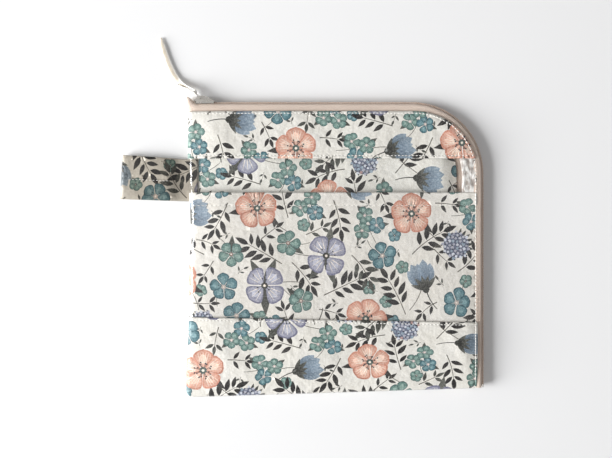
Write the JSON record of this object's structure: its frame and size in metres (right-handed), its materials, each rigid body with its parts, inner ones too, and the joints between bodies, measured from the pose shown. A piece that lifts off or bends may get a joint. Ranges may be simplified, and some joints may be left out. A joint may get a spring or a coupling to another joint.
{
  "type": "zippered pouch",
  "caption": "Flat square cotton pouch with a clear front window, a slip pocket, a zip round one corner and a side tab.",
  "frame": {"origin": "centre of the pouch's body on the outer face of its back panel", "axes": "+Z out of the front, +Y towards the zip's top run, +X towards the zip's right run, away from the side tab"},
  "size_m": [0.246, 0.2449, 0.0087],
  "materials": {
    "printed_cotton": "glossy",
    "lining_cotton": "matte",
    "clear_vinyl": "glossy",
    "zip_tape": "matte",
    "nylon_coil": "satin",
    "slider_metal": "satin",
    "lace": "matte",
    "thread": "matte"
  },
  "bodies": {
    "pouch_back": {"back_panel": "printed_cotton", "back_lining": "lining_cotton", "seam_allowance": "lining_cotton", "tab_tail": "printed_cotton", "zip_tape_back": "zip_tape", "zip_coil_back": "nylon_coil", "zip_top_stop_back": "slider_metal", "zip_bottom_stop": "slider_metal", "thread_zip_back": "thread"},
    "front_panel": {"front_top_band": "printed_cotton", "front_bottom_band": "printed_cotton", "front_window": "clear_vinyl", "slip_pocket": "printed_cotton", "zip_tape_front": "zip_tape", "zip_coil_front": "nylon_coil", "zip_top_stop_front": "slider_metal", "thread_zip_front": "thread", "thread_top_band": "thread", "thread_bottom_band": "thread", "thread_pocket_hem": "thread"},
    "slider": {"slider_body": "slider_metal"},
    "puller": {"slider_puller": "slider_metal", "pull_lace": "lace"},
    "tab": {"tab_loop": "printed_cotton", "thread_tab": "thread"}
  },
  "joints": [
    {"name": "slider_travel", "type": "slide", "parent": "pouch_back", "child": "slider", "axis": [1, 0, 0], "range_m": [0, 0.13], "deforming": ["zip_coil_front", "zip_coil_back", "zip_tape_front"]},
    {"name": "mouth_open", "type": "hinge", "parent": "pouch_back", "child": "front_panel", "pos_m": [0, -0.1, 0.0023], "axis": [1, 0, 0], "range_deg": [0, 7]},
    {"name": "puller_swing", "type": "hinge", "parent": "slider", "child": "puller", "pos_m": [-0.0922, 0.1026, 0.00405], "axis": [0, 0, 1], "range_deg": [-100, 35]},
    {"name": "tab_fold", "type": "hinge", "parent": "pouch_back", "child": "tab", "pos_m": [-0.102, 0.047, 0.0019], "axis": [0, 1, 0], "range_deg": [0, 75]}
  ],
  "couplings": [
    {"joint": "mouth_open", "follows": "slider_travel", "rad_per_m": 0.939}
  ]
}
